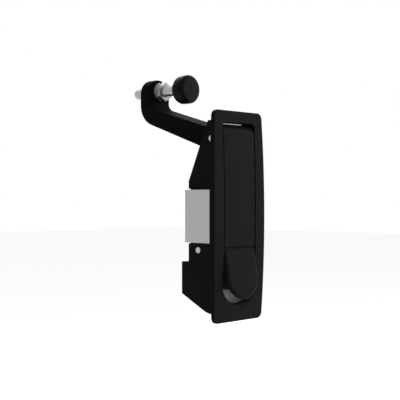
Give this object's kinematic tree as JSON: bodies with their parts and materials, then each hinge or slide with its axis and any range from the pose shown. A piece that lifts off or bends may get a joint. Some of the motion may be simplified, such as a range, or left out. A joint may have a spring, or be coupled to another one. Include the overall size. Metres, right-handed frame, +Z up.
{
  "type": "compression latch",
  "caption": "Flush-mounted compression latch with a pull handle, trigger release, cranked arm, screw-adjusted rubber bumper and rear clamp bracket.",
  "frame": {"origin": "middle of the flange's rear face, which lies on the front of the door panel", "axes": "+X to the right seen from the front, +Y into the cabinet (the front face looks along -Y), +Z up, towards the bumper"},
  "size_m": [0.0564, 0.1141, 0.1828],
  "materials": {
    "moulded_body": "satin",
    "moulded_handle": "satin",
    "coated_arm": "satin",
    "turned_steel": "satin",
    "zinc_plate": "satin",
    "zinc_thread": "satin",
    "spring_steel": "satin",
    "insert_brass": "satin",
    "bronze_bush": "satin",
    "buffer_rubber": "matte"
  },
  "bodies": {
    "housing": {"housing": "moulded_body", "pivot_pin": "turned_steel", "catch_pin": "turned_steel", "clamp_insert": "insert_brass"},
    "lever": {"handle": "moulded_handle", "lever_arm": "coated_arm", "arm_screws": "zinc_thread", "pivot_bushes": "bronze_bush", "trigger_pin": "turned_steel"},
    "trigger": {"trigger": "moulded_handle", "trigger_hook": "zinc_plate", "hook_rivets": "turned_steel", "trigger_spring": "spring_steel"},
    "bumper": {"bumper": "buffer_rubber"},
    "adjusting_screw": {"adjusting_screw": "zinc_thread"},
    "lock_washer": {"lock_washer": "spring_steel"},
    "lock_nut": {"lock_nut": "zinc_thread"},
    "bracket": {"clamp_bracket": "zinc_plate", "clamp_washer": "zinc_thread"},
    "clamp_screw": {"clamp_screw": "zinc_thread"}
  },
  "joints": [
    {"name": "lever_pivot", "type": "hinge", "parent": "housing", "child": "lever", "pos_m": [0, 0.006, 0.056], "axis": [1, 0, 0], "range_deg": [-50, 0]},
    {"name": "trigger_pivot", "type": "hinge", "parent": "lever", "child": "trigger", "pos_m": [0, 0.0002, -0.0245], "axis": [1, 0, 0], "range_deg": [-14, 0], "stiffness_Nm_per_rad": 0.05, "springref_deg": 28.65, "deforming": ["trigger_spring"]},
    {"name": "bumper_travel", "type": "slide", "parent": "lever", "child": "bumper", "axis": [0, 1, 0], "range_m": [-0.008, 0.008]},
    {"name": "screw_turn", "type": "hinge", "parent": "bumper", "child": "adjusting_screw", "pos_m": [0, 0.076, 0.0959], "axis": [0, 1, 0], "range_deg": [-2305, 2305]},
    {"name": "washer_travel", "type": "slide", "parent": "lever", "child": "lock_washer", "axis": [0, 1, 0], "range_m": [-0.00125, 0]},
    {"name": "nut_turn", "type": "hinge", "parent": "lock_washer", "child": "lock_nut", "pos_m": [0, 0.0736, 0.0959], "axis": [0, 1, 0], "range_deg": [-360.5, 0]},
    {"name": "bracket_travel", "type": "slide", "parent": "housing", "child": "bracket", "axis": [0, 1, 0], "range_m": [-0.0032, 0.0025]},
    {"name": "clamp_turn", "type": "hinge", "parent": "bracket", "child": "clamp_screw", "pos_m": [0, 0.03, 0], "axis": [0, 1, 0], "range_deg": [-1441, 1126]}
  ],
  "couplings": [
    {"joint": "screw_turn", "follows": "bumper_travel", "rad_per_m": 5026.5},
    {"joint": "nut_turn", "follows": "washer_travel", "rad_per_m": 5026.5},
    {"joint": "clamp_turn", "follows": "bracket_travel", "rad_per_m": 7854}
  ]
}
